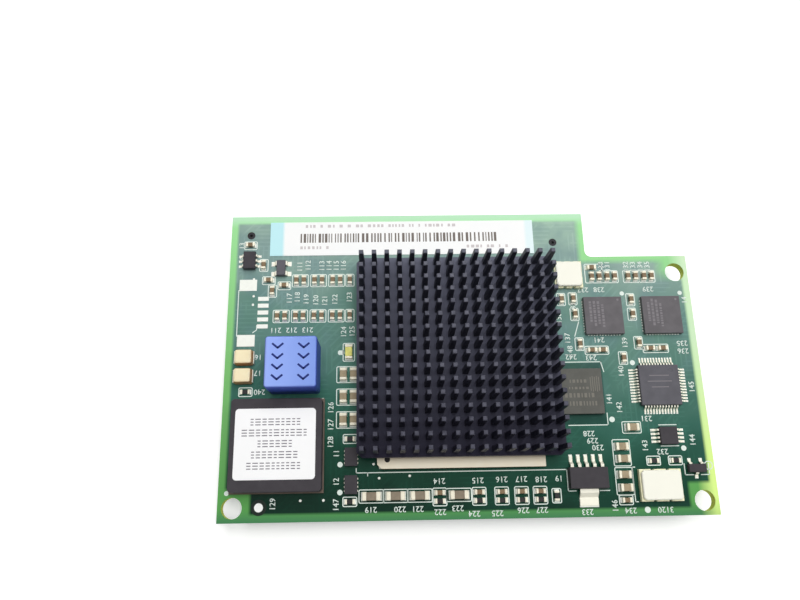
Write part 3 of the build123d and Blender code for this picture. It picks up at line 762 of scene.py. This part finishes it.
def lead_pads():
    """Tinned pads on the board under the feet of the leads."""
    covered, ahead, beside, thickness, edge = 0.5, 0.22, 0.04, 0.06, 0.025
    bm = bmesh.new()
    for leads in ("microcontroller_leads", "comparator_leads", "supervisor_leads", "reset_chip_leads",
                  "transistor_leads", "regulator_leads", "regulator_tab"):
        body = leads.rsplit("_", 1)[0] + "_body"
        low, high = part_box(body)
        centre = (low + high) / 2
        half = (high - low) / 2
        for lead_low, lead_high in solids(leads):
            middle = (lead_low + lead_high) / 2
            out = middle - centre
            axis = 0 if abs(out.x) / half.x > abs(out.y) / half.y else 1
            side = 1 if out[axis] > 0 else -1
            span = lead_high[axis] - lead_low[axis]
            pad_low, pad_high = lead_low.copy(), lead_high.copy()
            if side > 0:
                pad_low[axis] += covered * span
                pad_high[axis] += ahead * MM
            else:
                pad_high[axis] -= covered * span
                pad_low[axis] -= ahead * MM
            pad_low[1 - axis] -= beside * MM
            pad_high[1 - axis] += beside * MM
            pad_low.z = board_top
            pad_high.z = board_top + thickness * MM
            block(bm, pad_low, pad_high)
    bevel_edges(bm, sharp_edges(bm), edge, 1)
    new_piece("lead_pads", bm, looks["solder"], "solder")


def transceiver_terminals():
    """The row of soldered terminals along each side of the flat packages."""
    bm = bmesh.new()
    terminals, pitch, width, rise, proud, buried, toe = 12, 0.5, 0.24, 0.2, 0.12, 0.05, 0.04
    for low, high in solids("transceiver_bodies"):
        centre = (low + high) / 2
        half = (high.x - low.x) / 2
        for quarter in range(4):
            turn = Matrix.Translation((centre.x, centre.y, board_top)) @ Matrix.Rotation(
                math.radians(90 * quarter), 4, "Z")
            for i in range(terminals):
                offset = (i - (terminals - 1) / 2) * pitch
                part = bmesh.new()
                start = half - buried * MM
                corners = block(part, Vector((start, (offset - width / 2) * MM, 0.0)),
                                Vector((half + proud * MM, (offset + width / 2) * MM, rise * MM)))
                for corner in corners:
                    if corner.co.x > half and corner.co.z > 0.5 * rise * MM:
                        corner.co.z = toe * MM
                join(bm, part, turn)
    new_piece("transceiver_terminals", bm, looks["solder"], "solder")


def board_print():
    """White outlines, lines and dots on the board."""
    bm = bmesh.new()
    small = [outline for kind in ("coupling_capacitor", "bypass_capacitor", "resistor", "status_light")
             for outline in chip_outlines(kind)]
    large = chip_outlines("bulk_capacitor") + chip_outlines("ferrite")
    # Chips of one frame are nearer than the gap; the frame stands off their ends and their sides
    for outlines, gap, beyond, beside in ((small, 0.62, 0.42, 0.42), (large, 0.9, 0.62, 0.42)):
        for low, high in close_groups(outlines, gap):
            x0, y0 = board_place(low.x, low.y)
            x1, y1 = board_place(high.x, high.y)
            along_x = x1 - x0 > y1 - y0
            margin_x, margin_y = (beyond, beside) if along_x else (beside, beyond)
            print_box(bm, x0 - margin_x, y0 - margin_y, x1 + margin_x, y1 + margin_y)
    # Corners of each line, in millimetres on the board
    lines = [
        ((1.8, 31.4), (1.8, 39.8)),
        ((22.8, 8.4), (22.8, 7.7), (58.0, 7.7), (58.0, 4.2), (59.3, 4.2)),
        ((24.7, 7.7), (24.7, 7.2)),
        ((63.3, 4.2), (64.9, 4.2)),
        ((58.8, 25.95), (65.5, 25.95), (65.9, 24.2)),
        ((59.0, 15.0), (65.75, 15.0), (65.75, 17.0)),
        ((74.4, 14.85), (77.4, 14.85)),
        ((74.4, 11.3), (77.4, 11.3)),
        ((69.5, 2.3), (69.05, 2.3), (69.05, 7.9), (69.5, 7.9)),
        ((77.9, 8.3), (77.9, 6.5), (79.3, 6.5)),
        ((80.6, 6.5), (82.0, 6.5), (82.0, 8.3)),
        ((62.3, 33.2), (61.4, 30.6)),
        ((23.1, 28.0), (23.1, 40.0)),
        ((5.25, 33.3), (5.25, 32.5)),
        ((5.15, 32.4), (4.6, 32.0)),
    ]
    for points in lines:
        print_line(bm, points)
    # Place and diameter of each dot
    dots = [(20.1, 9.1, 0.9), (20.1, 4.6, 0.9), (66.5, 15.9, 0.95), (71.1, 25.7, 0.9), (78.2, 10.9, 0.9),
            (70.6, 38.4, 0.8), (81.1, 38.4, 0.8), (70.9, 1.0, 1.0), (1.45, 4.75, 0.8)]
    for dot in dots:
        print_dot(bm, *dot)
    print_ring(bm, 82.0, 8.0, 1.5)
    print_bar(bm, 17.1, 19.9, 0.3, 0.8)
    print_bar(bm, 20.15, 28.2, 1.1, 0.8, 0.2)
    ink_piece("board_print", bm, white_ink, "white_label")


def board_numbers():
    """Plain place numbers of two to four digits printed beside the parts."""
    bm = bmesh.new()
    upright = ((12.6, 44.2), (14.1, 44.4), (16.6, 44.3), (17.9, 44.3), (19.2, 44.3), (20.5, 44.3),
               (10.9, 38.2), (12.3, 38.4), (13.9, 38.0), (15.6, 37.8), (17.2, 37.7), (19.0, 37.9),
               (21.6, 38.3), (20.6, 31.9), (22.1, 32.0), (18.5, 18.6), (18.5, 15.7), (18.5, 12.8),
               (9.1, 2.9), (67.35, 43.5), (68.5, 43.6), (71.9, 43.5), (73.2, 43.5),
               (74.5, 43.5), (75.8, 43.5), (58.9, 33.9), (60.1, 30.2), (61.6, 35.9), (70.2, 29.3),
               (69.0, 24.2), (66.4, 19.4), (68.0, 17.9), (71.7, 11.4), (79.9, 12.2), (81.0, 21.3),
               (65.6, 1.7), (19.5, 2.6), (60.4, 27.9))
    short = ((19.5, 10.9), (19.5, 6.3), (2.0, 48.3), (81.8, 37.0), (2.2, 45.6))
    turned = ((8.6, 32.4), (11.4, 32.4), (14.2, 32.4), (36.6, 6.2), (43.0, 6.2), (47.0, 6.3),
              (50.3, 6.3), (53.6, 6.2), (25.2, 1.8), (30.0, 1.8), (32.9, 1.8), (36.6, 1.25),
              (39.5, 1.8), (42.2, 0.9), (46.0, 0.9), (50.3, 1.3), (53.4, 1.3), (62.3, 13.6), (62.8, 12.4),
              (63.6, 11.25), (72.4, 16.0), (74.5, 10.4), (60.9, 0.85), (68.1, 0.95), (80.3, 29.1),
              (80.3, 27.7), (63.6, 39.2), (66.5, 39.2), (75.4, 39.2), (6.2, 21.5),
              (65.6, 29.9), (60.4, 26.9), (63.9, 26.7))
    for first, turn, places in ((111, 90, upright), (11, 90, short), (211, 180, turned)):
        for i, (x, y) in enumerate(places):
            print_number(bm, str(first + i), x, y, turn)
    for label, x, y in (("3120", 73.9, 1.0), ("19", 56.6, 6.3), ("16", 5.75, 27.6), ("17", 5.75, 24.8)):
        print_number(bm, label, x, y, 180)
    ink_piece("board_numbers", bm, white_ink, "white_label")


def small_vias():
    """Tinned holes of the board, as small low cones of solder."""
    bm = bmesh.new()
    foot, tip, height = 0.28, 0.16, 0.05
    places = [(13.6, 3.4), (17.4, 3.4), (25.7, 9.1), (26.6, 6.8), (31.7, 7.1), (26.8, 8.5)]
    places += [(4.4 + 0.1 * math.sin(i), 41.9 - i * 1.6) for i in range(4)]
    for x, y in places:
        bmesh.ops.create_cone(bm, cap_ends=True, segments=16, radius1=foot * MM, radius2=tip * MM,
                              depth=height * MM, matrix=Matrix.Translation(on_board(x, y)))
    new_piece("small_vias", bm, looks["solder"], "solder")


def round_target():
    """A round alignment target: a tinned spot in a bare dark ring."""
    centre = (6.8, 2.4)
    ring_diameter, ring_width, spot_diameter, spot_thickness = 2.6, 0.62, 1.45, 0.05
    ring = bmesh.new()
    print_ring(ring, *centre, ring_diameter, ring_width)
    ink_piece("target_ring", ring, dark_ring, "board_laminate")
    spot = bmesh.new()
    print_dot(spot, *centre, spot_diameter)
    ink_piece("target_spot", spot, bright_tin, "solder", spot_thickness)


def hole_shade_sleeves():
    """Painted shade in the two tooling holes: black sleeves that darken them, each with a narrow bore."""
    bm = bmesh.new()
    radius, wall, inset = 0.715, 0.44, 0.05
    for x, y in ((3.6, 50.3), (58.85, 48.4)):
        shade_sleeve = bmesh.new()
        # Each sleeve is a dark lining that stands for the shade inside the hole.
        bmesh.ops.create_circle(shade_sleeve, cap_ends=True, segments=28, radius=radius * MM)
        inner = shade_sleeve.faces[:]
        bmesh.ops.inset_region(shade_sleeve, faces=inner, thickness=wall * MM, use_boundary=True)
        bmesh.ops.delete(shade_sleeve, geom=inner, context="FACES")
        raised = bmesh.ops.extrude_face_region(shade_sleeve, geom=shade_sleeve.faces[:])["geom"]
        rise = board_high.z - board_low.z - 2 * inset * MM
        bmesh.ops.translate(shade_sleeve, verts=[v for v in raised if isinstance(v, bmesh.types.BMVert)],
                            vec=(0, 0, rise))
        bmesh.ops.recalc_face_normals(shade_sleeve, faces=shade_sleeve.faces[:])
        join(bm, shade_sleeve, Matrix.Translation(on_board(x, y, board_low.z + inset * MM)))
    new_piece("hole_shade_sleeves", bm, looks["connector_plastic"], "connector_plastic")


def label_print():
    """Generic bars and dash rows on the two labels."""
    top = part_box("board_label")[1].z
    bars = bmesh.new()
    bars_start, bars_end, bars_line, bar_length = 12.6, 48.2, 49.65, 1.75
    x = bars_start
    while x < bars_end:
        width = random.choice((0.18, 0.27, 0.27, 0.45))
        print_bar(bars, x + width / 2, bars_line, width, bar_length, level=top)
        x += width + random.choice((0.22, 0.3, 0.3, 0.5))
    ink_piece("label_bars", bars, bar_ink, "board_label", label_ink_thickness)
    faint = bmesh.new()
    dash_height = 0.55
    for y, start, end in ((52.0, 13.5, 40.5), (47.8, 12.6, 18.0), (47.8, 43.0, 50.5)):
        x = start
        while x < end:
            width = random.choice((0.3, 0.45, 0.6))
            print_bar(faint, x + width / 2, y, width, dash_height, level=top)
            x += width + random.choice((0.25, 0.35, 0.9))
    ink_piece("label_dashes", faint, faint_ink, "board_label", label_ink_thickness)
    low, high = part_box("power_module_label")
    centre_x, centre_y = board_place((low.x + high.x) / 2, (low.y + high.y) / 2)
    rows = bmesh.new()
    row_pitch, stroke_pitch, stroke, space, shortest = 1.78, 0.46, 0.17, 0.28, 0.3
    for row, length in enumerate((8.2, 11.0, 5.6, 7.6, 9.0)):
        y = centre_y + (2 - row) * row_pitch
        x = centre_x - length / 2
        while x < centre_x + length / 2 - shortest:
            width = min(random.choice((0.5, 0.7, 0.9)), centre_x + length / 2 - x)
            for shift in (-stroke_pitch, 0.0, stroke_pitch):
                print_bar(rows, x + width / 2, y + shift, width, stroke, level=high.z)
            x += width + space
    ink_piece("module_label_rows", rows, grey_ink, "white_label", label_ink_thickness)


def package_marks():
    """Faint generic marks on the packages, where makers print theirs."""
    marks = bmesh.new()
    column_left, column_pitch, column_width, space = 1.1, 0.72, 0.42, 0.16
    dot_place, dot_diameter = (6.1, 6.2), 0.42
    for low, high in solids("transceiver_bodies"):
        x, y = board_place(low.x, low.y)
        for column, (start, end) in enumerate(((2.2, 5.6), (1.4, 6.0), (1.8, 5.8), (1.2, 5.2))):
            along = start
            while along < end:
                dash = random.choice((0.25, 0.4, 0.55))
                print_bar(marks, x + column_left + column_pitch * column, y + along + dash / 2,
                          column_width, dash, level=high.z)
                along += dash + space
        print_dot(marks, x + dot_place[0], y + dot_place[1], dot_diameter, high.z)
    low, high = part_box("microcontroller_body")
    x, y = board_place((low.x + high.x) / 2, (low.y + high.y) / 2)
    first_row, row_width = 1.6, 0.16
    for row, length in enumerate((3.4, 4.2, 3.0)):
        print_bar(marks, x, y + first_row - row, length, row_width, level=high.z)
    ink_piece("package_marks", marks, laser_mark, "grey_mould", mark_thickness)
    flash = bmesh.new()
    low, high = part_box("flash_body")
    right, middle = board_place(high.x, (low.y + high.y) / 2)
    # Each row: its place above the middle, its ends from the right edge, and its height
    for rise, left, stop, tall in ((1.7, 5.6, 2.4, 0.55), (0.5, 6.4, 2.4, 0.4),
                                   (-0.75, 6.6, 1.5, 0.75), (-2.15, 6.6, 1.3, 0.75)):
        along = right - left
        while along < right - stop:
            dash = random.choice((0.2, 0.3, 0.45))
            print_bar(flash, along + dash / 2, middle + rise, dash, tall, level=high.z)
            along += dash + 0.3
    bars, bar_pitch, bar_width, short, longer = 5, 0.36, 0.15, 2.4, 0.3
    for bar in range(bars):
        print_bar(flash, right - 2.0 + bar_pitch * bar, middle + 1.2, bar_width,
                  short + longer * (bar % 2), level=high.z)
    ink_piece("flash_marks", flash, brown_mark, "grey_mould", mark_thickness)
    dot = bmesh.new()
    index_place, index_diameter = (28.0, 9.7), 0.95
    print_dot(dot, *index_place, index_diameter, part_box("controller_substrate")[1].z)
    ink_piece("controller_index", dot, black_ink, "cream_laminate", label_ink_thickness)


def press_marks():
    """Two columns of plain chevrons on the press pad, pointing the way it is pushed."""
    low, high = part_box("press_pad")
    centre_x, centre_y = board_place((low.x + high.x) / 2, (low.y + high.y) / 2)
    column, pitch, arm_length, arm_width, arm_shift, arm_slope = 2.15, 1.75, 1.3, 0.34, 0.43, 40
    bm = bmesh.new()
    for side in (-1, 1):
        for step in range(4):
            x = centre_x + side * column
            y = centre_y + (1.5 - step) * pitch
            for slope in (-1, 1):
                arm = plate(arm_length, arm_width, 0.05, 1)
                turn = Matrix.Rotation(math.radians(arm_slope * slope), 4, "Z")
                place = Matrix.Translation(on_board(x + slope * arm_shift, y, high.z))
                join(bm, arm, place @ turn)
    ink_piece("press_marks", bm, blue_ink, "blue_rubber")


heat_sink()
chip_solder()
lead_pads()
transceiver_terminals()
board_print()
board_numbers()
small_vias()
round_target()
hole_shade_sleeves()
label_print()
package_marks()
press_marks()


def stage():
    """A white table under the card, which looks whiter with distance and still takes its shadow."""
    half_side = 3.0
    glow_near, glow_far = 0.33, 1.0
    glow_start, glow_end = 0.12, 0.7
    bm = bmesh.new()
    bmesh.ops.create_grid(bm, x_segments=1, y_segments=1, size=half_side,
                          matrix=Matrix.Translation((0, 0, cad_low.z)))
    mesh = bpy.data.meshes.new("table")
    bm.to_mesh(mesh)
    bm.free()
    finish = Finish("table_top", srgb(250, 250, 250), 0.9)
    rays = finish.node("LightPath")
    seen = finish.math("MAXIMUM", rays.outputs["Is Camera Ray"], rays.outputs["Is Glossy Ray"])
    seen = finish.math("MAXIMUM", seen, rays.outputs["Is Transmission Ray"])
    finish.set("Emission Color", (1, 1, 1, 1))
    away = finish.node("VectorMath", {0: finish.coordinates}, operation="LENGTH").outputs["Value"]
    glow = finish.spread(away, glow_start, glow_end, glow_near, glow_far)
    finish.set("Emission Strength", finish.math("MULTIPLY", seen, glow))
    mesh.materials.append(finish.material)
    table = bpy.data.objects.new("table", mesh)
    bpy.context.scene.collection.objects.link(table)


def area_lamp(name, place, aim, width, depth, power):
    """A rectangular lamp: place, aim and size in metres, power in watts."""
    light = bpy.data.lights.new(name, "AREA")
    light.shape = "RECTANGLE"
    light.size = width
    light.size_y = depth
    light.energy = power
    lamp = bpy.data.objects.new(name, light)
    lamp.location = place
    lamp.rotation_euler = (Vector(aim) - Vector(place)).to_track_quat("-Z", "Y").to_euler()
    bpy.context.scene.collection.objects.link(lamp)
    return lamp


def lighting():
    """A broad main lamp overhead, weaker ones behind and at the right, and a dim surround.

    The overhead lamp makes no gloss, since the photograph shows none of it on the flat tops.
    Seen by itself the surround is white, as the photograph's background is.
    """
    surround_level = 0.11
    area_lamp("window_light", (0.12, 0.42, 0.6), (0, 0.01, 0), 0.6, 0.36, 1.75)
    area_lamp("right_light", (0.5, 0.08, 0.5), (0, 0, 0), 0.3, 0.3, 0.5)
    overhead = area_lamp("overhead_light", (0.04, 0.05, 0.7), (0, 0, 0), 0.5, 0.3, 3.15)
    overhead.visible_glossy = False
    world = bpy.data.worlds.new("surround")
    bpy.context.scene.world = world
    world.use_nodes = True
    tree = world.node_tree
    background = tree.nodes["Background"]
    background.inputs["Color"].default_value = (1, 1, 1, 1)
    rays = tree.nodes.new("ShaderNodeLightPath")
    seen = rays.outputs["Is Camera Ray"]
    for kind in ("Is Glossy Ray", "Is Transmission Ray"):
        either = tree.nodes.new("ShaderNodeMath")
        either.operation = "MAXIMUM"
        tree.links.new(seen, either.inputs[0])
        tree.links.new(rays.outputs[kind], either.inputs[1])
        seen = either.outputs[0]
    strength = tree.nodes.new("ShaderNodeMapRange")
    tree.links.new(seen, strength.inputs[0])
    strength.inputs[3].default_value = surround_level
    strength.inputs[4].default_value = 1.0
    tree.links.new(strength.outputs[0], background.inputs["Strength"])


def camera():
    """The photograph's viewpoint, fitted to the board's corners and the heat sink's pins."""
    place = (-13.36, -25.78, 127.91)
    turn = (16.715, -0.867, -0.982)
    data = bpy.data.cameras.new("viewpoint")
    data.lens = 31.923
    data.clip_start = 0.005
    data.clip_end = 20.0
    viewer = bpy.data.objects.new("viewpoint", data)
    viewer.location = [distance * MM for distance in place]
    viewer.rotation_euler = Euler([math.radians(angle) for angle in turn], "XYZ")
    bpy.context.scene.collection.objects.link(viewer)
    bpy.context.scene.camera = viewer


stage()
lighting()
camera()
bpy.context.scene.view_settings.view_transform = "Standard"
